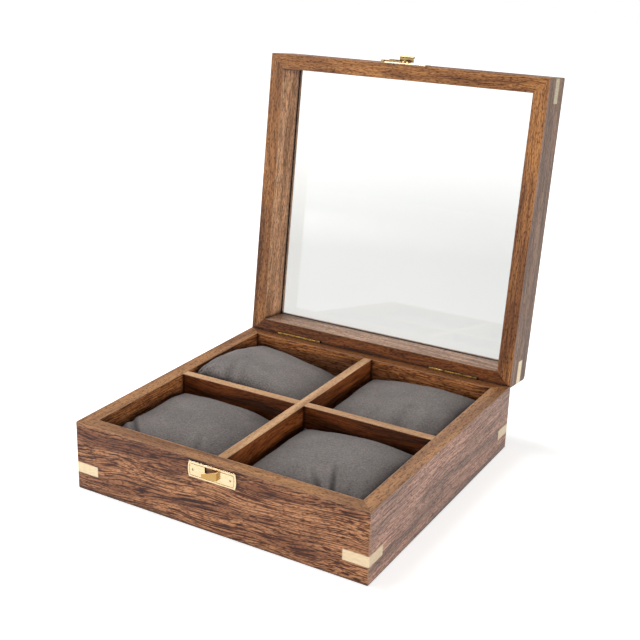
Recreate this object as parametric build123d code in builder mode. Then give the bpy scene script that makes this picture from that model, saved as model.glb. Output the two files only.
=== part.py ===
from build123d import *
import os
from math import cos, hypot, radians, sin, tan

# A wooden display box for four wristwatches, with a glazed lid that stands open on its own bevels.
# Millimetres: X runs right along the front, Y runs to the back, Z is up, and the origin is the
# middle of the underside. The lid is drawn as it lies when the box is shut, on a plane that is
# swung open about the hinge line.

# The case
box_width = 200.0
box_depth = 200.0
base_height = 44.5
lid_height = 28.3
wall = 10.0
corner_round = 0.8          # eased upright corners
foot_bevel = 0.6            # small bevel round the foot of the walls, less than the corner round
lid_back_round = 4.0        # rounded edge where the top of the lid meets its back
lid_edge_bevel = 0.4        # eased top edges of the lid
seam_gap = 0.3              # space between the shut lid and the base
open_angle = 96.4           # the lid rests here, bevel against bevel

# Base panel and lining
panel_thickness = 4.0
rebate = 5.0                # how far the panel is let in under the walls
panel_clearance = 0.2
lining_thickness = 1.5
lining_clearance = 0.4

# Dividers, halved together where they cross and housed in the walls
divider = 6.0
housing_depth = 2.0
housing_stop = 6.0          # the housings end this far below the top, so they do not show
joint_clearance = 0.1

# Glass
glass_thickness = 2.0
glass_lip = 2.9             # wood between the glass and the top of the lid
groove_depth = 4.0
groove_clearance = 0.15
glass_edge_clearance = 0.6

# Brass corner strips, let in flush across each mitre
strip_leg = 16.0
strip_width = 6.6
strip_thickness = 1.2
base_strip_height = 14.8    # middle of the strip above the foot of the base
lid_strip_height = 15.0     # middle of the strip above the lid's lower edge

# Hinges, with leaves in saw kerfs and their barrels sunk in the seam at the back
hinge_inset = 1.7           # hinge line to the back of the box
hinge_from_side = 40.2      # side of the box to the middle of a hinge
hinge_length = 35.0
knuckle_count = 5
knuckle_gap = 0.15
barrel_radius = 1.1
barrel_clearance = 0.25
leaf_width = 7.0            # hinge line to the far edge of a leaf
leaf_thickness = 0.8
leaf_cover = 1.2            # wood left over the leaf
kerf_clearance = 0.05
kerf_end_clearance = 0.4
hinge_pin_radius = 0.5
running_clearance = 0.05
brad_radius = 0.6
brad_length = 7.0
brad_setback = 4.6          # hinge line to the brad

# Catch plates, one each side of the seam
catch_width = 33.0
catch_height = 10.0
catch_thickness = 0.8
catch_bow = 0.8             # how far the ends bow out
catch_margin = 1.7          # seam edge of the wood to the base plate
lid_catch_margin = 0.8      # seam edge of the wood to the lid plate
border_inset = 1.1
border_width = 0.5
border_depth = 0.2
catch_edge_bevel = 0.2
catch_pin_spacing = 25.6
catch_pin_radius = 0.7
catch_pin_length = 7.0
catch_pin_sunk = 0.35       # face of the plate down to the head of a pin

# Keeper, a flap of the base plate bent outwards from its right-hand side
keeper_root = 4.4           # middle of the plate to the bend
keeper_tip = 4.6            # middle of the plate to the free end, on the other side
keeper_rise = 3.0           # face of the wood to the first bend
keeper_flare = 4.2          # face of the wood to the free end
keeper_height = 5.2
keeper_tip_height = 2.6
keeper_top = 1.4            # top of the base plate to the top of the keeper
keeper_bend = 0.9
keeper_clearance = 0.3

# Catch arm, which swings on a rivet and hooks its toe under the keeper
pivot_height = 5.0          # lower edge of the lid to the rivet
arm_gap = 0.2
arm_thickness = 1.0
arm_width = 4.5
arm_boss_radius = 3.4
dome_length = 9.0           # pressed dome along the arm
dome_width = 4.1
dome_height = 0.7
dome_slope = 65             # degrees
dome_gap = 0.4              # boss to the dome
toe_width = 2.0
toe_clearance = 0.25
toe_overlap = 0.3           # how far the toe reaches past the keeper's bend
tab_length = 10.0
tab_offset = 0.5            # the tab is set a little towards the toe
tab_height = 2.2
tab_curl = 0.9
tab_thickness = 0.7
rivet_radius = 1.0
rivet_length = 6.0
rivet_head_radius = 1.8
rivet_head_height = 0.8
rivet_head_gap = 0.1

# Pillows
pillow_clearance = 1.2      # corner of a pillow to the side of its compartment
pillow_lift = 0.4           # clear of the lining
pillow_waists = {           # seat to the widest level
    "front_left": 22.4,
    "front_right": 24.4,
    "back_left": 21.1,
    "back_right": 24.0,
}
pillow_shoulder = 10.0      # radius of the rounding from the widest level to the crown
pillow_dome_radius = 200.0
pillow_draw = 1.2           # how far each side is drawn in between its corners
pillow_blunt = 0.3          # how far the corners are blunted
pillow_leans = {            # degrees: the left side raised, the front raised
    "front_left": (3.7, 0.0),
    "front_right": (-2.0, 0.0),
    "back_left": (10.4, 7.9),
    "back_right": (-2.1, -1.5),
}

half_width = box_width / 2
half_depth = box_depth / 2
corners = {"front_left": (-1, -1), "front_right": (1, -1), "back_left": (-1, 1), "back_right": (1, 1)}
side_corners = {
    "front": ("front_left", "front_right"),
    "back": ("back_left", "back_right"),
    "left": ("front_left", "back_left"),
    "right": ("front_right", "back_right"),
}

# The hinge line, and the plane of the opened lid. On that plane a point of the lid has the same
# coordinates as it has in the box when the lid is shut.
hinge_y = half_depth - hinge_inset
hinge_z = base_height + seam_gap / 2
lid_low = base_height + seam_gap
lid_top = lid_low + lid_height
swing = radians(open_angle)
lid_up = Vector(0, sin(swing), cos(swing))
lid_back = Vector(0, cos(swing), -sin(swing))
lid_origin = Vector(0, hinge_y, hinge_z) - lid_back * hinge_y - lid_up * hinge_z

base = Plane.XY
lid = Plane(lid_origin, x_dir=(1, 0, 0), z_dir=lid_up)


def across(plane, x=0.0):
    """An upright plane across the box: its own x runs to the back, its own y runs up."""
    return Plane(plane.origin, x_dir=plane.y_dir, z_dir=plane.x_dir).offset(x)


def front_of(plane, outwards=0.0):
    """The front face: its own x runs right, its own y runs up, and it faces out."""
    return Plane(plane.origin, x_dir=plane.x_dir, z_dir=-plane.y_dir).offset(half_depth + outwards)


def keep(part, name):
    """Label a finished piece and write it."""
    part.label = name
    export_step(part, f"parts/{name}.step")


def mitred_side(side, plane, block):
    """One mitred side of the frame, taken from a block of the frame's outer form."""
    first, second = side_corners[side]
    outline = []
    for corner, inset in ((first, 0), (second, 0), (second, wall), (first, wall)):
        sign_x, sign_y = corners[corner]
        outline.append((sign_x * (half_width - inset), sign_y * (half_depth - inset)))
    with BuildPart() as piece:
        add(block)
        with BuildSketch(plane):
            Polygon(*outline, align=None)
        extrude(amount=lid_top, mode=Mode.INTERSECT)
    return piece.part


def corner_strip(plane, middle, corner):
    """A brass angle bent round one corner, flush with both faces."""
    sign_x, sign_y = corners[corner]
    with BuildPart() as piece:
        with BuildSketch(plane.offset(middle - strip_width / 2)):
            RectangleRounded(box_width, box_depth, corner_round)
            Rectangle(box_width - 2 * strip_thickness, box_depth - 2 * strip_thickness, mode=Mode.SUBTRACT)
            with Locations((sign_x * (half_width - strip_leg / 2), sign_y * (half_depth - strip_leg / 2))):
                Rectangle(strip_leg, strip_leg, mode=Mode.INTERSECT)
        extrude(amount=strip_width)
    return piece.part


os.makedirs("parts", exist_ok=True)

base_strips = {corner: corner_strip(base, base_strip_height, corner) for corner in corners}
lid_strips = {corner: corner_strip(lid, lid_low + lid_strip_height, corner) for corner in corners}
for corner in corners:
    keep(base_strips[corner], f"base_corner_strip_{corner}")
    keep(lid_strips[corner], f"lid_corner_strip_{corner}")

# Hinges
# Each leaf lies in its kerf at one side of the seam. Its fingers are rolled into knuckles on the
# hinge line: the base leaf has the first, third and fifth, the lid leaf has the two between.
knuckle_length = (hinge_length - (knuckle_count - 1) * knuckle_gap) / knuckle_count
knuckle_pitch = knuckle_length + knuckle_gap
leaf_near = seam_gap / 2 + leaf_cover
hinge_places = {"left": hinge_from_side - half_width, "right": half_width - hinge_from_side}


def knuckle_starts(middle, first):
    """Left ends of every second knuckle, counted from the first."""
    left_end = middle - hinge_length / 2
    return [left_end + k * knuckle_pitch for k in range(first, knuckle_count, 2)]


def hinge_leaf(plane, middle, upwards, first):
    """A leaf with its knuckles; upwards is 1 for the lid and -1 for the base."""
    leaf_middle = hinge_z + upwards * (leaf_near + leaf_thickness / 2)
    clear_edge = barrel_radius + barrel_clearance
    with BuildPart() as leaf:
        with BuildSketch(across(plane, middle - hinge_length / 2)):
            with Locations((hinge_y - (leaf_width + clear_edge) / 2, leaf_middle)):
                Rectangle(leaf_width - clear_edge, leaf_thickness)
        extrude(amount=hinge_length)
        for start in knuckle_starts(middle, first):
            with BuildSketch(across(plane, start)):
                with Locations((hinge_y, hinge_z)):
                    Circle(barrel_radius)
                with Locations((hinge_y - clear_edge / 2, leaf_middle)):
                    Rectangle(clear_edge + leaf_thickness, leaf_thickness)
                with Locations((hinge_y, (hinge_z + leaf_middle) / 2)):
                    Rectangle(leaf_thickness, leaf_near)
            extrude(amount=knuckle_length)
        with BuildSketch(across(plane, middle - hinge_length / 2)):
            with Locations((hinge_y, hinge_z)):
                Circle(hinge_pin_radius + running_clearance)
        extrude(amount=hinge_length, mode=Mode.SUBTRACT)
        with BuildSketch(plane.offset(leaf_middle - leaf_thickness)):
            with Locations((middle, hinge_y - brad_setback)):
                Circle(brad_radius + running_clearance)
        extrude(amount=2 * leaf_thickness, mode=Mode.SUBTRACT)
    return leaf.part


def hinge_seat(plane, middle, upwards):
    """What is cut from the wood for a hinge: a trough for the barrel and a saw kerf for the leaf."""
    leaf_middle = hinge_z + upwards * (leaf_near + leaf_thickness / 2)
    seat_length = hinge_length + 2 * kerf_end_clearance
    kerf_front = hinge_y - leaf_width - kerf_end_clearance
    kerf_run = half_depth - kerf_front + barrel_radius
    with BuildPart() as seat:
        with BuildSketch(across(plane, middle - seat_length / 2)):
            with Locations((hinge_y, hinge_z)):
                Circle(barrel_radius + barrel_clearance)
            with Locations((kerf_front + kerf_run / 2, leaf_middle)):
                Rectangle(kerf_run, leaf_thickness + 2 * kerf_clearance)
        extrude(amount=seat_length)
    return seat.part


def hinge_brads(plane, face, upwards):
    """One brad a hinge, driven through the leaf from the mating face."""
    with BuildPart() as brads:
        with BuildSketch(plane.offset(face)):
            with Locations(*[(middle, hinge_y - brad_setback) for middle in hinge_places.values()]):
                Circle(brad_radius)
        extrude(amount=upwards * brad_length)
    return brads.part


for place, middle in hinge_places.items():
    keep(hinge_leaf(base, middle, -1, first=0), f"hinge_leaf_base_{place}")
    keep(hinge_leaf(lid, middle, 1, first=1), f"hinge_leaf_lid_{place}")
    with BuildPart() as hinge_pin:
        with BuildSketch(across(base, middle - hinge_length / 2)):
            with Locations((hinge_y, hinge_z)):
                Circle(hinge_pin_radius)
        extrude(amount=hinge_length)
    keep(hinge_pin.part, f"hinge_pin_{place}")

base_brads = hinge_brads(base, base_height, -1)
lid_brads = hinge_brads(lid, lid_low, 1)
keep(base_brads, "hinge_brads_base")
keep(lid_brads, "hinge_brads_lid")

# Catch
base_plate_middle = base_height - catch_margin - catch_height / 2
lid_plate_middle = lid_low + lid_catch_margin + catch_height / 2
pivot_z = lid_low + pivot_height
keeper_high = base_height - catch_margin - keeper_top
keeper_low = keeper_high - keeper_height
arm_underside = catch_thickness + arm_gap
keeper_outside = keeper_root + catch_thickness / 2


def catch_plate(plane, middle):
    """A stamped plate with bowed ends, a sunk border line and two pin holes."""
    low = middle - catch_height / 2
    high = middle + catch_height / 2
    end = catch_width / 2
    shoulder = end - catch_bow
    with BuildPart() as plate:
        with BuildSketch(front_of(plane)) as outline:
            with BuildLine():
                Line((-shoulder, low), (shoulder, low))
                ThreePointArc((shoulder, low), (end, middle), (shoulder, high))
                Line((shoulder, high), (-shoulder, high))
                ThreePointArc((-shoulder, high), (-end, middle), (-shoulder, low))
            make_face()
        extrude(amount=catch_thickness)
        chamfer(plate.faces().sort_by(Axis(plane.origin, -plane.y_dir))[-1].edges(), catch_edge_bevel)
        with BuildSketch(front_of(plane, catch_thickness)):
            add(outline.sketch_local)
            offset(amount=-border_inset, mode=Mode.REPLACE)
            inside = offset(outline.sketch_local, amount=-border_inset - border_width, mode=Mode.PRIVATE)
            add(inside, mode=Mode.SUBTRACT)
        extrude(amount=-border_depth, mode=Mode.SUBTRACT)
        with BuildSketch(front_of(plane)):
            with Locations((-catch_pin_spacing / 2, middle), (catch_pin_spacing / 2, middle)):
                Circle(catch_pin_radius)
        extrude(amount=catch_thickness, mode=Mode.SUBTRACT)
    return plate.part


def catch_pins(plane, middle):
    """Two round pins, driven through a plate into the wood."""
    with BuildPart() as pins:
        with BuildSketch(front_of(plane, catch_thickness - catch_pin_sunk)):
            with Locations((-catch_pin_spacing / 2, middle), (catch_pin_spacing / 2, middle)):
                Circle(catch_pin_radius)
        extrude(amount=-catch_pin_length)
    return pins.part


# The keeper's section is a strip of the plate's own thickness, seen from above.
with BuildPart() as keeper:
    with BuildSketch(Plane.XY.offset(keeper_low)):
        with BuildLine():
            FilletPolyline(
                (keeper_root, -half_depth - catch_thickness / 2),
                (keeper_root, -half_depth - keeper_rise),
                (-keeper_tip, -half_depth - keeper_flare),
                radius=keeper_bend,
            )
        trace(line_width=catch_thickness)
    extrude(amount=keeper_height)
    with BuildSketch(front_of(base)):
        Polygon(
            (keeper_outside, keeper_low),
            (keeper_outside, keeper_high),
            (-keeper_tip - catch_thickness, keeper_low + keeper_tip_height),
            (-keeper_tip - catch_thickness, keeper_low),
            align=None,
        )
    extrude(amount=keeper_flare + catch_thickness, mode=Mode.INTERSECT)

with BuildPart() as catch_plate_base:
    add(catch_plate(base, base_plate_middle))
    with BuildSketch(front_of(base)):
        hole_right = keeper_root - catch_thickness / 2
        with Locations(((hole_right - keeper_tip) / 2, (keeper_low + keeper_high) / 2)):
            Rectangle(hole_right + keeper_tip, keeper_height)
    extrude(amount=catch_thickness, mode=Mode.SUBTRACT)
    add(keeper.part)
keep(catch_plate_base.part, "catch_plate_base")

with BuildPart() as catch_plate_lid:
    add(catch_plate(lid, lid_plate_middle))
    with BuildSketch(front_of(lid)):
        with Locations((0, pivot_z)):
            Circle(rivet_radius)
    extrude(amount=catch_thickness, mode=Mode.SUBTRACT)
keep(catch_plate_lid.part, "catch_plate_lid")

base_catch_pins = catch_pins(base, base_plate_middle)
lid_catch_pins = catch_pins(lid, lid_plate_middle)
keep(base_catch_pins, "catch_pins_base")
keep(lid_catch_pins, "catch_pins_lid")

# The arm is drawn swung open, pointing left along the lid plate. Its toe is part of a ring round
# the rivet, wide enough to pass under the lower corner of the keeper's bend.
toe_inner = hypot(keeper_outside, pivot_z - keeper_low) + toe_clearance
toe_outer = toe_inner + toe_width
toe_reach = keeper_outside + toe_overlap
with BuildPart() as catch_arm:
    with BuildSketch(front_of(lid, arm_underside)):
        with Locations((0, pivot_z)):
            Circle(toe_outer)
            Circle(toe_inner, mode=Mode.SUBTRACT)
        with Locations((-toe_outer / 2, pivot_z + (arm_width / 2 - toe_reach) / 2)):
            Rectangle(toe_outer, toe_reach + arm_width / 2, mode=Mode.INTERSECT)
        with Locations((-(toe_inner + toe_width / 2) / 2, pivot_z)):
            Rectangle(toe_inner + toe_width / 2, arm_width)
        with Locations((0, pivot_z)):
            Circle(arm_boss_radius)
            Circle(rivet_radius + running_clearance, mode=Mode.SUBTRACT)
    extrude(amount=arm_thickness)
    # dome pressed along the arm
    dome_middle = -arm_boss_radius - dome_gap - dome_length / 2
    with BuildSketch(front_of(lid, arm_underside + arm_thickness)):
        with Locations((dome_middle, pivot_z)):
            SlotOverall(dome_length, dome_width)
    extrude(amount=dome_height, taper=dome_slope)
    # thumb tab: the edge of the arm turned up and curled over
    tab_start = tab_length / 2 - tab_offset
    tab_top = half_depth + arm_underside + arm_thickness + tab_height
    tab_middle = pivot_z + arm_width / 2
    with BuildSketch(across(lid, tab_start - tab_length)):
        with BuildLine():
            Line((-half_depth - arm_underside - arm_thickness / 2, tab_middle), (-tab_top, tab_middle))
            ThreePointArc(
                (-tab_top, tab_middle),
                (-tab_top - tab_curl, tab_middle + tab_curl),
                (-tab_top, tab_middle + 2 * tab_curl),
            )
        trace(line_width=tab_thickness)
    extrude(amount=tab_length)
keep(catch_arm.part, "catch_arm")

with BuildPart() as catch_rivet:
    with BuildSketch(front_of(lid, arm_underside + arm_thickness + rivet_head_gap)):
        with Locations((0, pivot_z)):
            Circle(rivet_radius)
    extrude(amount=-rivet_length)
    with BuildSketch(front_of(lid, arm_underside + arm_thickness + rivet_head_gap)):
        with Locations((0, pivot_z)):
            Circle(rivet_head_radius)
    extrude(amount=rivet_head_height, taper=30)
keep(catch_rivet.part, "catch_rivet")

# Bevels along the back of the seam
# Both back edges are bevelled from the hinge line at half the opening angle, so the two bevels
# lie face to face when the lid is open and hold it there.
bevel_drop = hinge_inset * tan(swing / 2)


def back_bevel(plane, face, upwards):
    """The wedge planed off one back edge."""
    with BuildPart() as wedge:
        with BuildSketch(across(plane, -half_width)):
            Polygon(
                (hinge_y, face),
                (half_depth + hinge_inset, face + 2 * upwards * bevel_drop),
                (half_depth + hinge_inset, face),
                align=None,
            )
        extrude(amount=box_width)
    return wedge.part


# Dividers
divider_bottom = panel_thickness
housing_top = base_height - housing_stop
halving = (divider_bottom + base_height) / 2
slot_width = divider + 2 * joint_clearance


def divider_blank(run, clearance=0.0):
    """A divider of full depth, with tongues that reach into the walls; run is its axis."""
    inner = (box_width if run == "X" else box_depth) - 2 * wall
    face = Plane.XZ if run == "X" else Plane.YZ
    thickness = divider + 2 * clearance
    tongue = inner + 2 * housing_depth
    with BuildPart() as blank:
        with BuildSketch(face):
            with Locations((0, (divider_bottom + base_height) / 2)):
                Rectangle(inner, base_height - divider_bottom)
            with Locations((0, (divider_bottom + housing_top) / 2)):
                Rectangle(tongue, housing_top - divider_bottom)
        extrude(amount=thickness / 2, both=True)
    return blank.part


with BuildPart() as divider_lengthwise:
    add(divider_blank("Y"))
    with BuildSketch(Plane.XY.offset(divider_bottom)):
        Rectangle(divider, slot_width)
    extrude(amount=halving + joint_clearance - divider_bottom, mode=Mode.SUBTRACT)
keep(divider_lengthwise.part, "divider_lengthwise")

with BuildPart() as divider_crosswise:
    add(divider_blank("X"))
    with BuildSketch(Plane.XY.offset(halving)):
        Rectangle(slot_width, divider)
    extrude(amount=base_height - halving, mode=Mode.SUBTRACT)
keep(divider_crosswise.part, "divider_crosswise")

# Walls of the base
base_hinge_seats = [hinge_seat(base, middle, -1) for middle in hinge_places.values()]
base_cuts = list(base_strips.values()) + base_hinge_seats + [
    base_brads,
    base_catch_pins,
    back_bevel(base, base_height, -1),
    divider_blank("X", joint_clearance),
    divider_blank("Y", joint_clearance),
]
with BuildPart() as base_block:
    with BuildSketch(base):
        RectangleRounded(box_width, box_depth, corner_round)
    extrude(amount=base_height)
    chamfer(base_block.faces().sort_by(Axis.Z)[0].edges(), foot_bevel)
for side in side_corners:
    with BuildPart() as base_wall:
        add(mitred_side(side, base, base_block.part))
        with BuildSketch(base):
            Rectangle(box_width - 2 * rebate, box_depth - 2 * rebate)
        extrude(amount=panel_thickness, mode=Mode.SUBTRACT)
        for cut in base_cuts:
            add(cut, mode=Mode.SUBTRACT)
    keep(base_wall.part, f"base_{side}_wall")

with BuildPart() as base_panel:
    with BuildSketch(base):
        Rectangle(
            box_width - 2 * (rebate + panel_clearance),
            box_depth - 2 * (rebate + panel_clearance),
        )
    extrude(amount=panel_thickness)
keep(base_panel.part, "base_panel")

# Lining and pillows
compartment_x = half_width - wall - divider / 2
compartment_y = half_depth - wall - divider / 2
compartment_middles = {
    corner: (sign_x * (divider + compartment_x) / 2, sign_y * (divider + compartment_y) / 2)
    for corner, (sign_x, sign_y) in corners.items()
}
with BuildPart() as floor_lining:
    with BuildSketch(base.offset(panel_thickness)):
        with Locations(*compartment_middles.values()):
            Rectangle(compartment_x - 2 * lining_clearance, compartment_y - 2 * lining_clearance)
    extrude(amount=lining_thickness)
keep(floor_lining.part, "floor_lining")


def pillow_section(half, waist):
    """Upright section of a pillow: a flat seat, rounded undersides and shoulders, and an arched top."""
    height = waist + pillow_shoulder
    seat_half = half - waist
    top_half = half - pillow_shoulder
    bow = cos(radians(45))
    with BuildSketch() as section:
        with BuildLine():
            Line((-seat_half, 0), (seat_half, 0))
            Line((-top_half, height), (top_half, height))
            for side in (-1, 1):
                under = (side * (seat_half + waist * bow), waist * (1 - bow))
                shoulder = (side * (top_half + pillow_shoulder * bow), waist + pillow_shoulder * bow)
                ThreePointArc((side * seat_half, 0), under, (side * half, waist))
                ThreePointArc((side * half, waist), shoulder, (side * top_half, height))
        make_face()
        with Locations((0, height - pillow_dome_radius)):
            Circle(pillow_dome_radius, mode=Mode.INTERSECT)
    return section.sketch


def pillow(middle, waist, left_up, front_up):
    """A stuffed pillow with a domed top, a flat seat and sides drawn in between its corners."""
    half_x = compartment_x / 2 - pillow_clearance
    half_y = compartment_y / 2 - pillow_clearance
    height = waist + pillow_shoulder
    upwards, rightwards = (
        direction.rotate(Axis.Y, left_up).rotate(Axis.X, -front_up)
        for direction in (Vector(0, 0, 1), Vector(1, 0, 0))
    )
    # how far the middle of the seat is raised, so that the lowest edge only just clears the lining
    tipped = sin(radians(abs(left_up))) * (half_x - waist)
    tipped += sin(radians(abs(front_up))) * (half_y - waist)
    tipped += waist * (1 - upwards.Z)
    seat_z = panel_thickness + lining_thickness + pillow_lift + tipped
    seat_x = middle[0] - upwards.X * waist
    seat_y = middle[1] - upwards.Y * waist
    seat = Plane((seat_x, seat_y, seat_z), x_dir=rightwards, z_dir=upwards)
    with BuildPart() as body:
        with BuildSketch(seat):
            with BuildLine():
                ThreePointArc((-half_x, -half_y), (0, pillow_draw - half_y), (half_x, -half_y))
                ThreePointArc((half_x, -half_y), (half_x - pillow_draw, 0), (half_x, half_y))
                ThreePointArc((half_x, half_y), (0, half_y - pillow_draw), (-half_x, half_y))
                ThreePointArc((-half_x, half_y), (pillow_draw - half_x, 0), (-half_x, -half_y))
            make_face()
        extrude(amount=height)
        for half, x_dir in ((half_x, seat.x_dir), (half_y, seat.y_dir)):
            with BuildSketch(Plane(seat.origin, x_dir=x_dir, z_dir=x_dir.cross(upwards))):
                add(pillow_section(half - pillow_blunt, waist))
            extrude(amount=max(half_x, half_y), both=True, mode=Mode.INTERSECT)
        # the dome falls away towards the corners too
        for diagonal in (seat.x_dir + seat.y_dir, seat.x_dir - seat.y_dir):
            with BuildSketch(Plane(seat.origin, x_dir=diagonal, z_dir=diagonal.cross(upwards))):
                with Locations((0, height - pillow_dome_radius)):
                    Circle(pillow_dome_radius)
            extrude(amount=half_x + half_y, both=True, mode=Mode.INTERSECT)
    return body.part


for corner, middle in compartment_middles.items():
    keep(pillow(middle, pillow_waists[corner], *pillow_leans[corner]), f"pillow_{corner}")

# Lid
glass_low = lid_top - glass_lip - groove_clearance - glass_thickness
lid_hinge_seats = [hinge_seat(lid, middle, 1) for middle in hinge_places.values()]
with BuildPart() as rivet_hole:
    with BuildSketch(front_of(lid)):
        with Locations((0, pivot_z)):
            Circle(rivet_radius)
    extrude(amount=-rivet_length)
lid_cuts = list(lid_strips.values()) + lid_hinge_seats + [
    lid_brads,
    lid_catch_pins,
    rivet_hole.part,
    back_bevel(lid, lid_low, 1),
]
with BuildPart() as lid_block:
    with BuildSketch(lid.offset(lid_low)):
        RectangleRounded(box_width, box_depth, corner_round)
    extrude(amount=lid_height)
    chamfer(lid_block.faces().sort_by(Axis(lid_origin, lid_up))[-1].edges(), lid_edge_bevel)
    with BuildSketch(across(lid, -half_width)):
        Rectangle(2 * box_depth, 2 * lid_top)
        with Locations((half_depth - lid_back_round, lid_top - lid_back_round)):
            Rectangle(2 * lid_back_round, 2 * lid_back_round, align=Align.MIN, mode=Mode.SUBTRACT)
            Circle(lid_back_round)
    extrude(amount=box_width, mode=Mode.INTERSECT)
for side in side_corners:
    with BuildPart() as lid_rail:
        add(mitred_side(side, lid, lid_block.part))
        with BuildSketch(lid.offset(glass_low - groove_clearance)):
            Rectangle(box_width - 2 * (wall - groove_depth), box_depth - 2 * (wall - groove_depth))
        extrude(amount=glass_thickness + 2 * groove_clearance, mode=Mode.SUBTRACT)
        for cut in lid_cuts:
            add(cut, mode=Mode.SUBTRACT)
    keep(lid_rail.part, f"lid_{side}_rail")

with BuildPart() as glass_panel:
    with BuildSketch(lid.offset(glass_low)):
        held = wall - groove_depth + glass_edge_clearance
        Rectangle(box_width - 2 * held, box_depth - 2 * held)
    extrude(amount=glass_thickness)
keep(glass_panel.part, "glass_panel")
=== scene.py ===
# %% [markdown]
# # A wooden watch box
#
# A square hardwood box for four watches on pillows. Its glazed lid stands open on its own
# bevelled back edge. The pieces were constructed first, at their real size, and packed together
# with their joints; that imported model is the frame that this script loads. Here it gets its looks:
# wood with grain, rubbed brass, glass, and four stuffed suede pillows in place of the plain ones.
# Everything is in metres, with +X to the right along the front, +Y to the back and +Z up.

# %% Load the frame
from math import radians

import bpy
import numpy as np
from mathutils import Euler, Matrix, Vector


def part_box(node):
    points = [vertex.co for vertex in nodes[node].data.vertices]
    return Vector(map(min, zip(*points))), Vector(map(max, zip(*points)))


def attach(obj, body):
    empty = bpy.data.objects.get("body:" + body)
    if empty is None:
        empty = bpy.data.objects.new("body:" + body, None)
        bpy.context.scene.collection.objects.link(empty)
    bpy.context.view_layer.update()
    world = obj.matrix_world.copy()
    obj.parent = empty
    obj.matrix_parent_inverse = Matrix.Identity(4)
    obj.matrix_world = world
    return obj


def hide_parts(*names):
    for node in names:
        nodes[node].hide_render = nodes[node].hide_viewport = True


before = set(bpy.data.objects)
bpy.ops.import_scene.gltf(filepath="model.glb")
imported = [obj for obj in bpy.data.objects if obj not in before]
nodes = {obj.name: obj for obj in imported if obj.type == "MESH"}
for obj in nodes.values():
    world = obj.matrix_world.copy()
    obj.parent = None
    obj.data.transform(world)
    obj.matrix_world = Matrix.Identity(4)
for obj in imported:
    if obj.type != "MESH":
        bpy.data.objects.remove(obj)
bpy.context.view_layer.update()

mm = 0.001                    # one millimetre, in metres

# %% [markdown]
# ## The camera
#
# A camera that stands where the photographer stood sees the box from the same place. It could be
# placed by eye, but the corners of a square box give it exactly: their places in the photograph were
# solved for the camera's position, its three angles and its focal length. The object was not in the
# middle of the lens, so the frame is shifted a little to one side.

# %% Set up the camera
camera_place = Vector((0.3305, -0.5817, 0.3441))
camera_yaw = 32.14            # degrees, turned to the left
camera_pitch = 20.07          # degrees, tipped down
camera_roll = 0.68            # degrees
focal_length = 65.26          # millimetres, on a sensor 36 mm wide
frame_shift = 0.1             # of the frame's width

camera_data = bpy.data.cameras.new("camera")
camera_data.lens = focal_length
camera_data.shift_x = frame_shift
camera = bpy.data.objects.new("camera", camera_data)
bpy.context.scene.collection.objects.link(camera)
aim = Euler((radians(90 - camera_pitch), 0, radians(camera_yaw))).to_matrix()
aim = aim @ Matrix.Rotation(radians(camera_roll), 3, "Z")
camera.matrix_world = Matrix.Translation(camera_place) @ aim.to_4x4()
bpy.context.scene.camera = camera
print("camera", round(camera_place.length, 3), "m from the middle of the foot")

# %% [markdown]
# ## Colours and nodes
#
# Materials here are node trees: a few patterns are mixed into colour, roughness and bump. Each
# tree could be wired by hand in the shader editor, but written out it can be read and repeated.
# One small function adds a node with its settings and feeds its inputs. Colours are written as
# they look on a screen, and one formula, the sRGB curve, turns them to the linear light values
# that the renderer works in.

# %% Colour and node helpers
def colour(hex_code):
    """Screen colour to linear light, channel by channel.

    A dark channel c, up to 0.04045, becomes c / 12.92, and a lighter one
    ((c + 0.055) / 1.055) ** 2.4.
    """
    channels = [int(hex_code[k:k + 2], 16) / 255 for k in (1, 3, 5)]
    linear = [c / 12.92 if c <= 0.04045 else ((c + 0.055) / 1.055) ** 2.4 for c in channels]
    return (*linear, 1.0)


def feed(material, node, **inputs):
    """Give a node's inputs their values: numbers, colours or other nodes' outputs.

    material is what owns the nodes, a material or the world. An input goes by its name with _
    for each space, or by its place, as in in_0.
    """
    for name, value in inputs.items():
        key = int(name[3:]) if name.startswith("in_") else name.replace("_", " ")
        if isinstance(value, bpy.types.NodeSocket):
            material.node_tree.links.new(value, node.inputs[key])
        else:
            node.inputs[key].default_value = value


def add(material, kind, settings=None, out=0, stops=None, **inputs):
    """Add a node and return its output of the name or place out.

    settings are the node's own properties, and stops a colour ramp's (place, hex colour) pairs.
    """
    node = material.node_tree.nodes.new("ShaderNode" + kind)
    for name, value in (settings or {}).items():
        setattr(node, name, value)
    if stops:
        for element, (place, hex_code) in zip(node.color_ramp.elements, stops):
            element.position = place
            element.color = colour(hex_code)
    feed(material, node, **inputs)
    return node.outputs[out]


def new_material(name):
    """An empty material with a Principled shader; returns both."""
    material = bpy.data.materials.new(name)
    material.use_nodes = True
    return material, material.node_tree.nodes["Principled BSDF"]


def dress(obj, material):
    """Give every face of a piece the material."""
    obj.data.materials.clear()
    obj.data.materials.append(material)


print("middle grey on a screen is", round(colour("#808080")[0], 3), "of white's light")

# %% [markdown]
# ## The lamps
#
# The photograph was lit by large soft lamps. One lamp hangs over the box, a little to the left.
# One stands in front on the left and one on the right, both so low that they light the sides of
# the box and hardly its inside. A sun or small lamps could light it too, but their shadows have
# hard edges, which the photograph doesn't show, so all three are wide squares.

# %% Lamps
box_middle = Vector((0, 0, 0.05))


def lamp(name, place, size, power):
    """A square soft lamp aimed at the middle of the box; size in metres, power in watts."""
    data = bpy.data.lights.new(name, "AREA")
    data.shape = "SQUARE"
    data.size = size
    data.energy = power
    obj = bpy.data.objects.new(name, data)
    obj.location = place
    towards_box = box_middle - Vector(place)
    obj.rotation_euler = towards_box.to_track_quat("-Z", "Y").to_euler()
    bpy.context.scene.collection.objects.link(obj)


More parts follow.
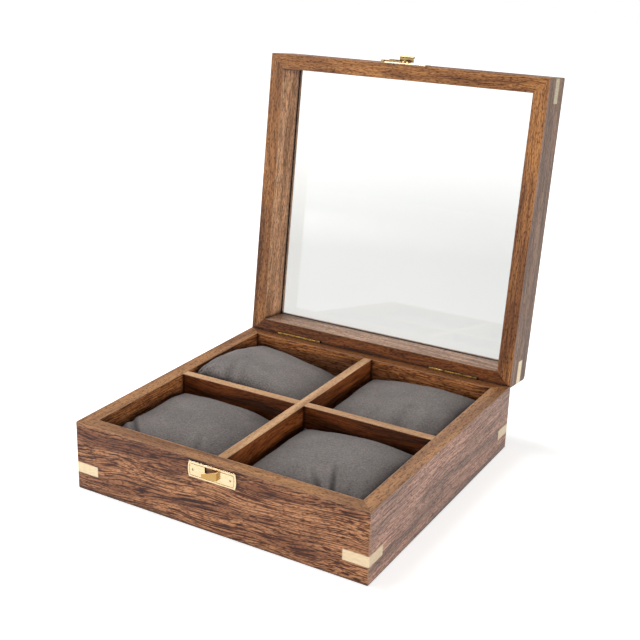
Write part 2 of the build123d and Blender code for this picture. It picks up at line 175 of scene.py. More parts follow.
lamp("overhead_lamp", place=(-0.5, 0.15, 1.2), size=0.7, power=12)
lamp("front_lamp", place=(-1.5, -1.4, 0.45), size=0.8, power=15)
lamp("right_lamp", place=(1.5, -1.0, 0.4), size=0.7, power=15)

# %% [markdown]
# ## The room
#
# The photograph's background is plain white. One white world at full strength would give that, but
# it would also flood the box with light. So the room answers three kinds of rays differently:
# the camera sees it pure white, also through the glass; surfaces get only a little light from it;
# and what oiled wood and brass mirror is white low down and grey overhead. That grey keeps a
# milky sheen off the box's top edges.

# %% Room
room_strength = 0.18          # light from all round
white_below = 0.06            # rise of a mirrored ray, 0 level and 1 straight up
grey_above = 0.36
overhead_grey = "#8C8C8C"


def seen_straight(material):
    """1 for rays that come from the camera or through glass, and 0 for all others."""
    return add(
        material, "Math", {"operation": "MAXIMUM"},
        in_0=add(material, "LightPath", out="Is Camera Ray"),
        in_1=add(material, "LightPath", out="Is Transmission Ray"),
    )


bpy.context.scene.view_settings.view_transform = "Standard"
room = bpy.data.worlds.new("studio")
bpy.context.scene.world = room
room.use_nodes = True
rise = add(room, "SeparateXYZ", out="Z", Vector=add(room, "TexCoord", out="Generated"))
sky = add(room, "ValToRGB", stops=[(white_below, "#FFFFFF"), (grey_above, overhead_grey)], Fac=rise)
lighting = add(room, "Background", Color=colour("#FFFFFF"), Strength=room_strength)
mirrored = add(room, "Background", Color=sky, Strength=1.0)
backdrop = add(room, "Background", Color=colour("#FFFFFF"), Strength=1.0)
on_surfaces = add(
    room, "MixShader",
    in_0=add(room, "LightPath", out="Is Glossy Ray"), in_1=lighting, in_2=mirrored,
)
room_light = add(
    room, "MixShader", in_0=seen_straight(room), in_1=on_surfaces, in_2=backdrop,
)
feed(room, room.node_tree.nodes["World Output"], Surface=room_light)
print("room:", room.name, "at", room_strength)

# %% [markdown]
# ## The floor
#
# The box stands on a white sheet. A floor painted pure white still renders grey where the lamps reach
# it at an angle, and more light would bleach the box. Here the paint is a plain off-white, and for
# camera, mirror and see-through rays it gives off some light of its own on top, so that it looks as
# white as the photograph's sheet, with the shadow kept. Seen through the glass, it gives off much
# less: painted shade, which greys the floor behind the pane.

# %% Floor
floor_half = 3.0              # metres
near_glow = 0.68              # beside the box, where the lamps reach
# seen through the glass the floor glows less: painted shade that makes the pane look a little grey
glazed_shade_glow = 0.12            # the same place seen through the glass, which looks a little grey
far_glow = 1.0                # where the lamps hardly reach
near_reach = 0.5              # metres from the middle up to which the glow is the near one
far_reach = 1.3               # metres from the middle from which it is the far one

floor_mesh = bpy.data.meshes.new("floor")
floor_corners = [(x * floor_half, y * floor_half, 0) for x, y in ((-1, -1), (1, -1), (1, 1), (-1, 1))]
floor_mesh.from_pydata(floor_corners, [], [(0, 1, 2, 3)])
floor = bpy.data.objects.new("floor", floor_mesh)
bpy.context.scene.collection.objects.link(floor)

floor_paint, floor_shader = new_material("matte_white_floor")
seen_at_all = add(
    floor_paint, "Math", {"operation": "MAXIMUM"},
    in_0=seen_straight(floor_paint), in_1=add(floor_paint, "LightPath", out="Is Glossy Ray"),
)
from_middle = add(
    floor_paint, "VectorMath", {"operation": "LENGTH"}, out="Value",
    in_0=add(floor_paint, "TexCoord", out="Object"),
)
glow_here = add(
    floor_paint, "MapRange", Value=add(floor_paint, "LightPath", out="Is Transmission Ray"),
    To_Min=near_glow, To_Max=glazed_shade_glow,
)
wanted_glow = add(
    floor_paint, "MapRange", Value=from_middle, From_Min=near_reach, From_Max=far_reach,
    To_Min=glow_here, To_Max=far_glow,
)
glow = add(
    floor_paint, "Math", {"operation": "MULTIPLY"}, in_0=seen_at_all, in_1=wanted_glow,
)
feed(
    floor_paint, floor_shader, Base_Color=colour("#E6E6E4"), Roughness=0.9,
    Emission_Color=colour("#FFFFFF"), Emission_Strength=glow,
)
dress(floor, floor_paint)
print("floor:", 2 * floor_half, "m wide")

# %% [markdown]
# ## Patterns
#
# Wood, brass, suede and felt all start from the same few things: a noise whose blobs have a given
# size in millimetres, a mask of the sharp edges, where use rubs a piece light, and a mask of the
# corners and gaps, which stay dark. On the wood the edge mask gives a pale tone, partly the wear of
# use and partly a painted highlight, and the corner mask gives painted shade. On suede and felt it
# gives painted shade too, and on brass it gives tarnish. Edges and corners could be painted by hand,
# but a mask that is worked out from the shape stays right when a piece changes.

# %% Pattern helpers
probes = 4                    # how many directions the edge and corner masks try
flat_cosine = 0.995           # true and rounded normal 6 degrees apart: not an edge yet
edge_cosine = 0.93            # 22 degrees apart: all edge


def in_millimetres(material):
    """Places on a piece in millimetres, from the middle of the box's foot."""
    return add(
        material, "VectorMath", {"operation": "SCALE"},
        in_0=add(material, "TexCoord", out="Object"), Scale=1 / mm,
    )


def blobs(material, places, size, detail=2.0, roughness=0.5, out="Fac"):
    """Noise from 0 to 1 in blobs of about the given size in millimetres, along u, v and w."""
    spaced = add(
        material, "VectorMath", {"operation": "MULTIPLY"},
        in_0=places, in_1=tuple(1 / side for side in size),
    )
    return add(
        material, "TexNoise", out=out, Vector=spaced, Scale=1.0, Detail=detail, Roughness=roughness,
    )


def eased(material, radius):
    """Normals that round a sharp edge off within radius (mm), and a mask of where they do.

    The mask goes by the cosine between the true and the rounded normal.
    """
    rounded = add(material, "Bevel", {"samples": probes}, Radius=radius * mm)
    cosine = add(
        material, "VectorMath", {"operation": "DOT_PRODUCT"}, out="Value",
        in_0=rounded, in_1=add(material, "NewGeometry", out="Normal"),
    )
    return rounded, add(
        material, "MapRange", Value=cosine, From_Min=flat_cosine, From_Max=edge_cosine,
    )


def closed_in(material, reach, still_open=0.80, shut=0.35):
    """A mask of the corners and gaps that have something in front of them within reach (mm).

    It is 0 where still_open of the view is free, and 1 where only shut of it is.
    """
    openness = add(
        material, "AmbientOcclusion", {"samples": probes}, out="AO", Distance=reach * mm,
    )
    return add(material, "MapRange", Value=openness, From_Min=still_open, From_Max=shut)


# A Mix node has a pair of inputs and an output for each kind of value: 2 and 3 with output 0 for
# numbers, 4 and 5 with output 1 for vectors, and 6 and 7 with output 2 for colours. Its input 0
# is the share of the second of the pair.
covering = {"data_type": "RGBA"}
darkening = {"data_type": "RGBA", "blend_type": "MULTIPLY"}
print("pattern helpers:", [helper.__name__ for helper in (blobs, eased, closed_in)])

# %% [markdown]
# ## The wood
#
# The box is a dense, open-pored hardwood, planed, oiled and rubbed to a satin. To the eye it is
# reddish brown in broad lighter and darker zones, with thin dark veins that wave along the board,
# fine dark pores and small flecks. It could be a photograph of veneer wrapped round each board,
# but a solid pattern is truer: it runs through the board, so face, edge and end agree at every
# corner, as they do in wood. First it needs each board's own directions, u along the board and w
# upright, and a place in the log that no other board was cut from.

# %% Directions on a board
open_angle = 96.4             # degrees: the lid's boards are turned with it


def board_turn(along, opened):
    """The turn that lays u along a board and w upright, as on the shut box."""
    return (radians(open_angle) if opened else 0, 0, radians(-90) if along == "Y" else 0)


def on_board(material, turn, slope, cut_at):
    """Places on a board in millimetres, tipped by the slope of its grain (degrees)."""
    level = add(material, "Mapping", Vector=in_millimetres(material), Rotation=turn)
    return add(
        material, "Mapping", Vector=level, Rotation=(0, radians(slope), 0), Location=cut_at,
    )


def squarely(material, normal, turn, axis):
    """How squarely a surface faces along an axis of its board: 1 straight on, 0 side on.

    It is the normal's share along that axis, without its sign.
    """
    turned = add(material, "Mapping", {"vector_type": "VECTOR"}, Vector=normal, Rotation=turn)
    share = add(material, "SeparateXYZ", out=axis, Vector=turned)
    return add(material, "Math", {"operation": "ABSOLUTE"}, in_0=share)


print("a lid board from front to back turns by", [round(a, 3) for a in board_turn("Y", True)])

# %% [markdown]
# ### Veins and pores
#
# Both are lines along the board that wave together, because they follow the same growth rings. So
# one slow noise bends the places first, and both patterns read the bent places. A vein is where
# a stretched noise crosses its middle value, which gives thin lines that split and join. Real
# pores are about 0.2 mm wide and a few millimetres long, one behind another. That is too fine to
# show from where the camera stands, so they are drawn as lines 0.65 mm wide and 24 mm long.

# %% Veins and pores
# sizes in millimetres, along the board and twice across it
bend_size = (80, 24, 24)
vein_size = (38, 2.6, 2.6)
pore_size = (24, 0.65, 0.65)
vein_side = 0.040             # how far the noise is from its middle value at a vein's side
vein_core = 0.010             # and inside the vein
vein_strength = 0.7
pore_side = 0.47              # value of the noise at a pore's side
pore_core = 0.60              # and inside the pore


def bent(material, board, wave):
    """Places moved sideways and up by a slow noise times wave (mm)."""
    return add(
        material, "VectorMath", {"operation": "MULTIPLY_ADD"},
        in_0=blobs(material, board, bend_size, detail=1.0, out="Color"),
        in_1=(0, wave, wave), in_2=board,
    )


def veins_at(material, places):
    """Lines where a stretched noise is close to its middle value, one half."""
    off_middle = add(
        material, "Math", {"operation": "SUBTRACT"},
        in_0=blobs(material, places, vein_size, roughness=0.6), in_1=0.5,
    )
    distance = add(material, "Math", {"operation": "ABSOLUTE"}, in_0=off_middle)
    return add(
        material, "MapRange", Value=distance, From_Min=vein_side, From_Max=vein_core,
        To_Max=vein_strength,
    )


def pores_at(material, places):
    """Fine lines where a long, thin noise is high."""
    return add(
        material, "MapRange", Value=blobs(material, places, pore_size, detail=1.0),
        From_Min=pore_side, From_Max=pore_core,
    )


print("pores are lines", pore_size[0], "mm long and", pore_size[1], "mm wide")

# %% [markdown]
# ### Worn edges and their painted highlight
#
# Hands rub the sharp edges of the box round and light, and a rounded edge catches a highlight, which
# is painted here in the same pale tone. A plain mask of the sharp edges gives that, but it also draws
# a light line across the top of every glued mitre, where two boards meet and nothing is sharp. At a
# mitre the rounded normal leans along the board, and at a real edge it leans across it. That lean
# tells them apart: at mitres the true normal stays, without wear or painted highlight.

# %% Worn edges of a board
edge_radius = 0.9             # millimetres
mitre_lean = 0.05             # how far the normal leans along the board where a mitre starts
mitre_full = 0.20             # and in the middle of the mitre
# the pale tone on sharp edges is partly real wear and partly a painted highlight
edge_wear_and_highlight = 0.55              # share of the pale, worn tone on a sharp edge


def worn_and_highlit_edges(material, turn, on_edge):
    """Normals with the board's sharp edges rounded off, and a mask of the wear and painted highlight
    there.

    A mitre is where, on a narrow edge, the rounded normal leans along the board. The true normal
    comes back there, and the pale tone of wear and painted highlight, its share times the mask of the
    edges, goes to 0.
    """
    rounded, near_edge = eased(material, edge_radius)
    inward = add(
        material, "VectorTransform",
        {"vector_type": "NORMAL", "convert_from": "WORLD", "convert_to": "OBJECT"}, Vector=rounded,
    )
    leaning = add(
        material, "MapRange", Value=squarely(material, inward, turn, "X"),
        From_Min=mitre_lean, From_Max=mitre_full,
    )
    mitre = add(material, "Math", {"operation": "MULTIPLY"}, in_0=leaning, in_1=on_edge)
    smooth = add(
        material, "Mix", {"data_type": "VECTOR"}, out=1,
        in_0=mitre, in_4=rounded, in_5=add(material, "NewGeometry", out="Normal"),
    )
    wear_and_highlight = add(material, "MapRange", Value=mitre, To_Min=edge_wear_and_highlight, To_Max=0.0)
    return smooth, add(material, "Math", {"operation": "MULTIPLY"}, in_0=near_edge, in_1=wear_and_highlight)


print("edges rounded off over", edge_radius, "mm")

# %% [markdown]
# ### One board
#
# Zones, veins, pores, flecks, wear and shade could each be a material of their own, but they are laid
# over each other in one. First comes what grew in the real board, then what use rubbed off its edges,
# with a painted highlight mixed in there, and last painted shade in the corners and seams. The narrow
# edges are cut across the growth rings, so they look more golden, with fewer lines. Real flecks are
# cut pores a few tenths of a millimetre wide; they are drawn 0.7 mm wide, so that they show.

# %% Tones and sizes of the wood
face_brown = ("#CE9468", "#8A563A")
edge_gold = ("#C08C5B", "#865A3A")
vein_brown = "#805642"
pore_brown = "#6A4432"
fleck_brown = "#86604C"
# pale tone of the sharp edges: real wear, and a painted highlight on the rounded edge
worn_and_highlight_pale = "#D6AC8C"
# painted shade: a brown for the corners and a darker one along the seams
corner_shade_brown = "#6A4C3C"
seam_shade_brown = "#3C261C"
zone_size = (120, 8, 8)       # millimetres, along the board and twice across it
zone_dark = 0.38              # value of the noise where a zone has its dark tone
edge_zone_dark = 0.36         # the same on a narrow edge
zone_light = 0.60             # and where it has its light one
fleck_size = (2.6, 0.7, 0.7)
fleck_side = 0.51             # value of the noise at a fleck's side
fleck_core = 0.66             # and inside the fleck
narrow_from = 0.70            # how squarely upwards a face looks that starts to be a narrow edge
narrow_full = 0.80
# reach of the painted shade in corners and along seams, in millimetres
corner_shade_reach = 4.0             # millimetres
seam_shade_reach = 2.0
oiled_roughness = 0.46
pore_depth = 0.2              # millimetres
print("wood in zones", zone_size[0], "mm long, with flecks", fleck_size[1], "mm wide")

# %% Wood material
def wood(name, along="X", opened=False, cut_at=(0, 0, 0), face=face_brown, edge=edge_gold,
         slope=0.0, wave=16, figure=1.0, edge_figure=0.15, flecked=0.8, gloss=0.25):
    """Satin-oiled hardwood for one board. face and edge are each a light and a dark tone.

    along and opened say how the board lies, cut_at where it was in the log (mm), slope how its grain
    tips (degrees) and wave how far it waves (mm). figure and edge_figure are how strongly veins and
    pores show on its faces and edges, flecked how strongly flecks do on both, and gloss is the shine
    of the oil. A noise along the bent places gives broad zones between the two tones. Each pattern
    darkens what is under it, wear with a painted highlight lightens the sharp edges, and painted
    shade darkens the corners and seams.
    """
    material, shader = new_material(name)
    turn = board_turn(along, opened)
    board = on_board(material, turn, slope, cut_at)
    bend = bent(material, board, wave)
    upright = squarely(material, add(material, "TexCoord", out="Normal"), turn, "Z")
    on_edge = add(
        material, "MapRange", Value=upright, From_Min=narrow_from, From_Max=narrow_full,
    )

    zones = blobs(material, bend, zone_size, detail=3.0)
    tone = add(
        material, "Mix", covering, out=2, in_0=on_edge,
        in_6=add(
            material, "ValToRGB", stops=[(zone_dark, face[1]), (zone_light, face[0])], Fac=zones,
        ),
        in_7=add(
            material, "ValToRGB", stops=[(edge_zone_dark, edge[1]), (zone_light, edge[0])],
            Fac=zones,
        ),
    )
    lines = add(material, "MapRange", Value=on_edge, To_Min=figure, To_Max=edge_figure)
    veins, pores = (
        add(material, "Math", {"operation": "MULTIPLY"}, in_0=pattern(material, bend), in_1=lines)
        for pattern in (veins_at, pores_at)
    )
    flecks = add(
        material, "MapRange", Value=blobs(material, board, fleck_size, detail=1.0),
        From_Min=fleck_side, From_Max=fleck_core, To_Max=flecked,
    )
    for amount, brown in ((veins, vein_brown), (pores, pore_brown), (flecks, fleck_brown)):
        tone = add(
            material, "Mix", darkening, out=2, in_0=amount, in_6=tone, in_7=colour(brown),
        )

    # sharp edges turn pale: partly real wear, partly a painted highlight
    smooth, worn_and_highlit = worn_and_highlit_edges(material, turn, on_edge)
    tone = add(
        material, "Mix", covering, out=2, in_0=worn_and_highlit, in_6=tone, in_7=colour(worn_and_highlight_pale),
    )
    # painted shade where something stands close in front: broad in corners, dark along seams
    corner_shade = closed_in(material, corner_shade_reach)
    seam_shade = closed_in(material, seam_shade_reach, still_open=0.88, shut=0.58)
    for amount, brown in ((corner_shade, corner_shade_brown), (seam_shade, seam_shade_brown)):
        tone = add(
            material, "Mix", darkening, out=2, in_0=amount, in_6=tone, in_7=colour(brown),
        )

    relief = add(
        material, "Bump", {"invert": True}, Strength=0.35, Distance=pore_depth * mm,
        Height=add(material, "Math", {"operation": "ADD"}, in_0=pores, in_1=veins),
        Normal=smooth,
    )
    feed(
        material, shader, Base_Color=tone, Roughness=oiled_roughness, Specular_IOR_Level=gloss,
        Normal=relief,
    )
    return material


print("oiled to a roughness of", oiled_roughness, "with pores", pore_depth, "mm deep")

# %% [markdown]
# ### All the boards
#
# One wood for the whole box would be simpler, but the boards come from different planks, and in
# the photograph each side of the box has a tone of its own. So every board gets its own place in
# the log and, where its tone differs, its own light and dark brown. On the open lid, the narrow
# edges are the ones that meet the base when it is shut, and now look to the front.
# Some of these tones also paint light and shade. The top of the back wall is darker with the painted
# shade of the open lid. The crosswise divider's sides are darker wood with painted shade of the deep
# compartments. The lengthwise divider's sides are lighter, painted lit.

# %% Dress the boards
inner_brown = ("#C8844E", "#986440")     # inside of the back and left walls
# painted shade of the open lid on the top of the back wall
lid_shade_brown = ("#8E5C34", "#5E3820")     # top of the back wall, along the hinges
mauve_brown = ("#D2A28A", "#967464")     # outside of the right wall
lit_brown = ("#A86030", "#683818")       # sides of the lengthwise divider
# darker wood, with painted shade of the deep compartments
dark_shaded_brown = ("#88481F", "#4C2812")      # sides of the crosswise divider
divider_top = ("#DCB084", "#B88A60")
rail_gold = ("#C48850", "#805030")       # narrow edges of the lid's front and right rails
rail_brown = ("#B47C4A", "#744828")      # narrow edges of its left rail
rail_dark = ("#8C5228", "#502C12")       # narrow edges of its back rail
ledge_pale = ("#E8C0A0", "#BE967A")      # inner side of the back rail, a ledge under the glass
pale_brown = ("#F2BC8C", "#C08C60")      # inner side of the left rail
outer_brown = ("#A47C5E", "#7A5A44")     # outer side of the right rail
panel_brown = ("#B59873", "#95764F")     # base panel

boards = {
    "base_front_wall": dict(cut_at=(0, 0, 0), slope=3, gloss=0.3),
    "base_back_wall": dict(
        cut_at=(700, 30, 10), face=inner_brown, edge=lid_shade_brown, wave=6, figure=0.7,
    ),
    "base_left_wall": dict(
        along="Y", cut_at=(1300, 60, 25), face=inner_brown, wave=6, figure=0.7,
    ),
    "base_right_wall": dict(
        along="Y", cut_at=(2100, 90, 70), face=mauve_brown, wave=6, figure=0.6, gloss=0.4,
    ),
    "divider_lengthwise": dict(
        along="Y", cut_at=(2900, 140, 40), face=lit_brown, edge=divider_top,
        figure=0.6, flecked=0.4,
    ),
    "divider_crosswise": dict(
        cut_at=(3600, 170, 90), face=dark_shaded_brown, edge=divider_top, figure=0.6, flecked=0.4,
    ),
    "lid_front_rail": dict(opened=True, cut_at=(4300, 210, 15), edge=rail_gold, edge_figure=0.5),
    "lid_back_rail": dict(
        opened=True, cut_at=(5100, 240, 60), face=ledge_pale, edge=rail_dark,
        figure=0.5, edge_figure=0.5,
    ),
    "lid_left_rail": dict(
        along="Y", opened=True, cut_at=(5900, 290, 110), face=pale_brown, edge=rail_brown,
        figure=0.6, edge_figure=0.5,
    ),
    "lid_right_rail": dict(
        along="Y", opened=True, cut_at=(6700, 330, 150), face=outer_brown, edge=rail_gold,
        wave=6, figure=0.6, edge_figure=0.5, gloss=0.3,
    ),
    "base_panel": dict(cut_at=(7400, 360, 190), face=panel_brown),
}
for board_name, facts in boards.items():
    dress(nodes[board_name], wood("oiled_wood_" + board_name, **facts))
print("boards:", len(boards))

# %% [markdown]
# ## The metal
#
# The corner strips and the catch are rolled brass, rubbed bright and not lacquered. Brass is a
# metal, so its colour is all in its reflection. One plain roughness would look like plastic: fine
# scratches from the rubbing blur the reflection more in some places than in others, and a noise
# stretched along them gives that. Real scratches are a few hundredths of a millimetre wide, too
# fine to show, so they are drawn 0.4 mm wide. Rubbing doesn't reach into corners, and there, and
# all over the hinges, the brass has gone brown.

# %% Metal material
scratch_size = (3.0, 3.0, 0.4)   # millimetres
blotch_size = (3.0, 3.0, 3.0)
scratch_low = 0.3             # value of the noise where the metal is dull
scratch_high = 0.7            # and where it is bright
dull_blur = 1.3               # how many times its roughness it has where it is dull
bright_blur = 0.8             # and where it is bright
metal_edge = 0.2              # millimetres that its sharp edges are rounded off by
scratch_depth = 0.1           # millimetres
tarnish_reach = 1.6           # millimetres
plate_front = -101.0          # millimetres along Y: the base's catch plate ends here
keeper_clear = -101.8         # and from here on there is only its keeper


def metal(name, bright, dull, roughness, grain=scratch_size, tarnish=None, keeper_reflection=None):
    """Rubbed sheet metal. grain is the size of its scratches in mm; tarnish colours its recesses.

    The noise of the scratches mixes the bright and the dull tone, and blurs the reflection more where
    it is dull. The last argument colours what stands out in front of the base's catch plate, the
    keeper, a darker gold: a painted reflection of the brown wood around it.
    """
    material, shader = new_material(name)
    places = in_millimetres(material)
    scratches = blobs(material, places, grain, detail=3.0, roughness=0.6)
    tone = add(
        material, "ValToRGB", stops=[(scratch_low, dull), (scratch_high, bright)], Fac=scratches,
    )
    # painted reflection: the keeper turns a darker gold, for the brown wood it mirrors
    if keeper_reflection:
        keeper = add(
            material, "MapRange", Value=add(material, "SeparateXYZ", out="Y", Vector=places),
            From_Min=plate_front, From_Max=keeper_clear,
        )
        tone = add(
            material, "Mix", covering, out=2, in_0=keeper, in_6=tone, in_7=colour(keeper_reflection),
        )
    if tarnish:
        tone = add(
            material, "Mix", covering, out=2, in_0=closed_in(material, tarnish_reach),
            in_6=tone, in_7=colour(tarnish),
        )
    rough = add(
        material, "MapRange", Value=scratches, From_Min=scratch_low, From_Max=scratch_high,
        To_Min=roughness * dull_blur, To_Max=roughness * bright_blur,
    )
    rounded, _ = eased(material, metal_edge)
    relief = add(
        material, "Bump", Strength=0.12, Distance=scratch_depth * mm, Height=scratches,
        Normal=rounded,
    )
    feed(material, shader, Base_Color=tone, Roughness=rough, Metallic=1.0, Normal=relief)
    return material


print("metal with scratches", scratch_size[2], "mm wide")

# %% Dress the metal pieces
# rubbed sheet brass, let in flush: pale and satin, with soft reflections
strip_brass = metal("rubbed_brass", "#DECBAE", "#CCB793", 0.36)
# the same on the lid's front corners, greyer and darker as a painted dark reflection, and more
# blurred
brass_with_dark_reflection = metal("brass_with_dark_reflection", "#C0B294", "#A89A7C", 0.40)
# polished brass: bright and sharp, brown in its pressed border, and a darker gold on the keeper as a
# painted reflection
catch_brass = metal(
    "polished_brass", "#E8D3B0", "#DAC094", 0.20, tarnish="#8A6430", keeper_reflection="#B8935A",
)
# brass of the arm and its rivet: deeper gold, a painted reflection of the brown wood around it, and
# dark in its folds
arm_brass_painted_reflection = metal("arm_painted_reflection_brass", "#B09468", "#8A6E46", 0.26, tarnish="#5A3C1C")
# brass of the hinges, which nobody rubs: brown blotches with dull yellow between them
old_brass = metal("tarnished_brass", "#A88248", "#3E2A14", 0.42, blotch_size, "#3A2410")
# brass brads that the wood has browned: small dark dots with hardly any shine
brown_brass = metal("browned_brass", "#4E3A2C", "#3A2A20", 0.60)

# a piece takes the last metal whose word is in its name
metal_of = {
    "strip": strip_brass,
    "lid_corner_strip_front": brass_with_dark_reflection,
    "catch": catch_brass,
    "catch_arm": arm_brass_painted_reflection,
    "catch_rivet": arm_brass_painted_reflection,
    "hinge": old_brass,
    "brads": brown_brass,
}
metal_count = 0
for node_name, obj in nodes.items():
    matching = [material for word, material in metal_of.items() if word in node_name]
    if matching:
        dress(obj, matching[-1])
        metal_count += 1
print("metal pieces:", metal_count)

# %% [markdown]
# ## The glass
#
# The lid holds a pane of float glass. It is perfectly smooth, so the eye sees it only by its
# reflections and by the faint grey of what lies behind it. The floor there is partly in real shadow
# and partly in painted shade, as it gives off less light where it is seen through the pane. A thin
# transparent sheet would render faster, but the pane has a real thickness, and light that bends at
# both its faces shows its edges as a real one does.

# %% Glass material
glass, glass_shader = new_material("float_glass")
feed(
    glass, glass_shader, Base_Color=colour("#FAFBFA"), Transmission_Weight=1.0, Roughness=0.0,
    IOR=1.5,
)
dress(nodes["glass_panel"], glass)
print("glass:", glass.name)

# %% [markdown]
# ## Suede and felt
#
# The pillows are brushed suede and the compartments are lined with felt. Both are matt, because
# many short fibres stand up and scatter the light, with a soft sheen where they are seen side
# on. Each fibre could be a hair, but at this size they only show as a mottle. Suede is lighter and
# darker where its nap was brushed one way or another; felt is one even dark mat. Single fibres
# are a few hundredths of a millimetre wide, so both mottles are drawn coarser: 1.1 mm and 0.4 mm.

# %% Suede and felt materials
mottle_low = 0.38             # value of the noise where the dark tone is reached
mottle_high = 0.62            # and the light one
brushed_share = 0.2           # of the mottle that comes from brushed areas
shade_grey = "#5A5654"
fibre_depth = 0.2             # millimetres


def nap(name, light, dark, spot, brushed, fuzz, reach):
    """Matt fabric. spot is the size of its mottle and brushed that of its brushed areas, in mm.

    The mottle is a noise of its fibres with a share of a broader one mixed in, and runs from the
    dark to the light tone. fuzz is the strength of its sheen. It darkens where a neighbour stands
    in front of it within reach (mm).
    """
    material, shader = new_material(name)
    places = in_millimetres(material)
    fibres = blobs(material, places, (spot, spot, spot), detail=3.0, roughness=0.7)
    areas = blobs(material, places, (brushed, brushed, brushed))
    mottle = add(
        material, "Mix", {"data_type": "FLOAT"}, in_0=brushed_share, in_2=fibres, in_3=areas,
    )
    tone = add(
        material, "ValToRGB", stops=[(mottle_low, dark), (mottle_high, light)], Fac=mottle,
    )
    shaded = closed_in(material, reach, still_open=0.95, shut=0.45)
    tone = add(
        material, "Mix", darkening, out=2, in_0=shaded, in_6=tone, in_7=colour(shade_grey),
    )
    relief = add(material, "Bump", Strength=0.25, Distance=fibre_depth * mm, Height=fibres)
    feed(
        material, shader, Base_Color=tone, Roughness=0.95, Sheen_Weight=fuzz, Sheen_Roughness=0.5,
        Normal=relief,
    )
    return material


# brushed suede: warm grey, softly mottled, darker towards the walls round it
suede = nap("grey_suede", "#7F7773", "#544D4A", spot=1.1, brushed=16, fuzz=0.25, reach=24)
# pressed felt: nearly black brown, which closes the gaps beside the pillows
felt = nap("brown_felt", "#302620", "#221A16", spot=0.4, brushed=20, fuzz=0.1, reach=10)
dress(nodes["floor_lining"], felt)
print("fabrics:", suede.name, "and", felt.name)

# %% [markdown]
# ## The pillows
#
# Each pillow is suede sewn over a soft filling. Its plain solid says where it is and how large.
# The stuffed form could be sculpted by hand, but a cloth simulation gives it by itself: a slightly
# smaller copy is covered in an even net and blown up from inside, as a real filling pushes, and
# the result is kept as a mesh and evened out.

# %% Pillow filling
net_size = 0.003              # metres between the threads of the net
swell = 0.005                 # metres, the furthest that the filling may push a point
shrink = 0.965                # the copy starts smaller by this, because it swells
cloth_frames = 20
evening_strength = 0.5        # how far each pass moves a point to the middle of its neighbours
evening_passes = 12
subdivisions = 2


def vertices_of(mesh, what="co"):
    """All vertex places of a mesh, or its normals, as one array."""
    values = np.empty(len(mesh.vertices) * 3)
    mesh.vertices.foreach_get(what, values)
    return values.reshape(-1, 3)


def applied(obj):
    """Bake a piece's modifiers into its mesh."""
    bpy.context.view_layer.update()
    graph = bpy.context.evaluated_depsgraph_get()
    mesh = bpy.data.meshes.new_from_object(obj.evaluated_get(graph))
    obj.modifiers.clear()
    obj.data = mesh


def blown_up(obj):
    """Fill a closed mesh with air for a few frames and keep its shape.

    A point that the air pushes further than swell is drawn back along its way, to that distance.
    """
    start = vertices_of(obj.data)
    cloth = obj.modifiers.new("filling", "CLOTH")
    cloth.settings.use_pressure = True
    cloth.settings.uniform_pressure_force = 4.0
    cloth.settings.effector_weights.gravity = 0
    cloth.settings.tension_stiffness = 20
    cloth.settings.compression_stiffness = 20
    cloth.settings.bending_stiffness = 0.3
    cloth.collision_settings.use_self_collision = False
    scene = bpy.context.scene
    for frame_number in range(1, cloth_frames + 1):
        scene.frame_set(frame_number)
    applied(obj)
    scene.frame_set(1)
    moved = vertices_of(obj.data) - start
    travel = np.linalg.norm(moved, axis=1, keepdims=True)
    kept = start + moved * np.minimum(1, swell / np.maximum(travel, 1e-9))
    obj.data.vertices.foreach_set("co", kept.ravel())
    print(obj.name, "swelled", round(float(travel.max()) / mm, 1), "mm at most")


def filled(corner, centre):
    """The plain solid in one corner of the box, copied, netted, blown up and evened out."""
    plain = nodes["pillow_" + corner]
    pillow = bpy.data.objects.new("suede_pillow_" + corner, plain.data.copy())
    bpy.context.scene.collection.objects.link(pillow)
    to_centre = Matrix.Translation(centre)
    pillow.data.transform(to_centre @ Matrix.Scale(shrink, 4) @ to_centre.inverted())
    net = pillow.modifiers.new("net", "REMESH")
    net.mode = "VOXEL"
    net.voxel_size = net_size
    applied(pillow)
    blown_up(pillow)
    evened = pillow.modifiers.new("evened", "SMOOTH")
    evened.factor = evening_strength
    evened.iterations = evening_passes
    smooth = pillow.modifiers.new("smooth", "SUBSURF")
    smooth.levels = subdivisions
    smooth.render_levels = subdivisions
    applied(pillow)
    return pillow


print("a net of", net_size / mm, "mm, pushed out", swell / mm, "mm at most")

# %% [markdown]
# ### Creases and fuller places
#
# The puckers that the seams pull into the suede are finer than the net, so the simulation can't
# make them. They are pressed in afterwards, each where the photograph shows it. The same formula
# with a negative depth raises the broad places where a pillow is stuffed fuller.

# %% Creases
foot_growth = 0.6             # share of its length over which a crease grows, before its foot
head_fade = 0.8               # power of its fading towards the head; 1 is an even fade
ridge_height = 0.45           # of the ridges beside it, as a share of its depth
ridge_place = 2.2             # widths from the crease to a ridge
ridge_spread = 1.4            # widths squared

# foot and head of each crease in millimetres, then its width and depth
pillow_creases = {
    "front_left": [
        ((-23, -85), (-36, -57), 2.0, 1.8),
        ((-67, -82), (-88, -60), 1.5, 2.6),
        ((-12, -84), (-20, -72), 3.0, 1.8),
        ((-40, -2), (-46, -32), 14, -1.3),
    ],
    "front_right": [
        ((59.5, -85), (43.5, -63), 1.2, 2.4),
        ((66.5, -83), (53.0, -51), 1.2, 2.6),
        ((77, -86), (71, -66), 2.6, 1.6),
        ((50, -2), (46, -32), 14, -1.3),
    ],
    "back_left": [
        ((-57, 2), (-69, 31), 2.2, 2.2),
        ((-85, 3), (-79, 20), 2.0, 2.4),
        ((-44, 2), (-57, 27), 4.5, 1.6),
        ((-91, 44), (-58, 50), 14, -1.8),
    ],
    "back_right": [
        ((62, 2), (56, 48), 4.5, 3.6),
        ((40, 2), (38, 26), 3.5, 1.4),
        ((50, 91), (46, 60), 14, -1.0),
    ],
}


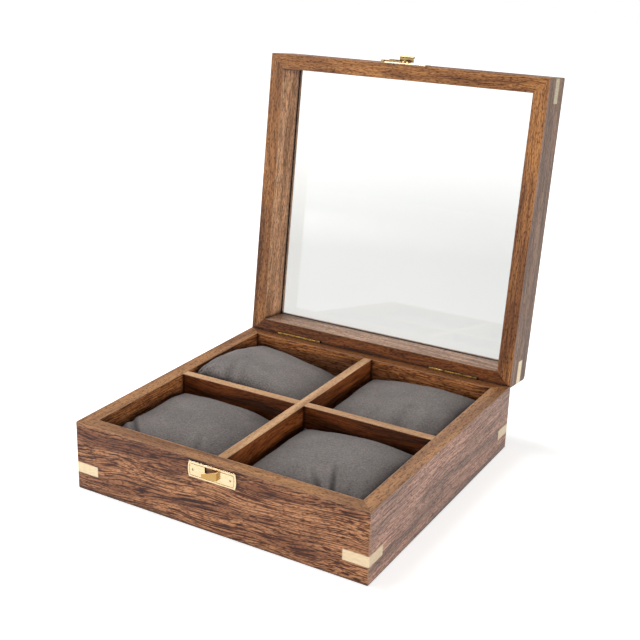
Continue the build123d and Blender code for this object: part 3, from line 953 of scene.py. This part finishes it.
def puckered(places, upward, normals, creases):
    """Press creases into the suede, along its normals.

    A crease runs from its foot to its head in plan. Its depth is a bell across it, grows quickly
    at the foot and fades to nothing at the head, and two low ridges stand beside it. All of it
    is scaled by upward, which is 1 on top and 0 where the suede faces down. Where the depth is
    negative, the filling bulges instead.
    """
    for foot, head, width, depth in creases:
        foot = np.array(foot) * mm
        run = np.array(head) * mm - foot
        length = np.linalg.norm(run)
        away = places[:, :2] - foot
        along = away @ run / length**2
        across = (away[:, 0] * run[1] - away[:, 1] * run[0]) / length / (width * mm)
        growth = np.clip((along + foot_growth) / foot_growth, 0, 1)
        fade = growth * np.clip(1 - along, 0, 1) ** head_fade
        ridges = np.exp(-((np.abs(across) - ridge_place) ** 2) / ridge_spread)
        valley = np.exp(-across**2) - ridge_height * ridges
        places = places - normals * (depth * mm * fade * upward * valley)[:, None]
    return places


print("creases:", {corner: len(creases) for corner, creases in pillow_creases.items()})

# %% [markdown]
# ### Corners, and into the box
#
# A stuffed pillow's corners stand out in plan, because the seams hold them while the sides draw in.
# The corners could be dragged by hand; a pull that grows towards each corner does the same for all
# four pillows. Last, suede that would reach into a wall or divider is held half a millimetre off.

# %% Make the pillows
corner_pull = 0.06            # how far the corners stand out, as a share of the half width
corner_lift = 0.0016          # metres that the filling raises them
compartment = (0.0035, 0.0895)   # metres from the middle planes: the least and most for suede


def cornered(places, centre, half, facing_up):
    """Move the corners of a pillow out and up.

    x and y run from -1 to 1 over its plan. x moves out by x times y squared and y by y times x
    squared, both times corner_pull and the half width. The height grows by x times y, without
    its sign, times corner_lift and facing_up, which is 1 on top and 0 at the sides.
    """
    x = (places[:, 0] - centre.x) / half.x
    y = (places[:, 1] - centre.y) / half.y
    pulled = places.copy()
    pulled[:, 0] += half.x * x * corner_pull * y**2
    pulled[:, 1] += half.y * y * corner_pull * x**2
    pulled[:, 2] += corner_lift * np.abs(x * y) * facing_up
    return pulled


def stuffed(corner):
    """A stuffed pillow made from the plain solid in one corner of the box."""
    low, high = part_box("pillow_" + corner)
    centre = (low + high) / 2
    pillow = filled(corner, centre)
    normals = vertices_of(pillow.data, "normal")
    upward = np.clip(normals[:, 2] * 2, 0, 1)
    places = puckered(vertices_of(pillow.data), upward, normals, pillow_creases[corner])
    places = cornered(places, centre, (high - low).xy / 2, np.clip(normals[:, 2], 0, 1))
    signs = np.sign(centre.xy)
    places[:, :2] = signs * np.clip(signs * places[:, :2], *compartment)
    places[:, 2] = np.clip(places[:, 2], low.z, None)
    pillow.data.vertices.foreach_set("co", places.ravel())
    pillow.data.shade_smooth()
    return pillow


for corner in pillow_creases:
    pillow = stuffed(corner)
    dress(pillow, suede)
    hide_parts("pillow_" + corner)
    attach(pillow, "base")
    print(pillow.name, len(pillow.data.polygons), "faces")
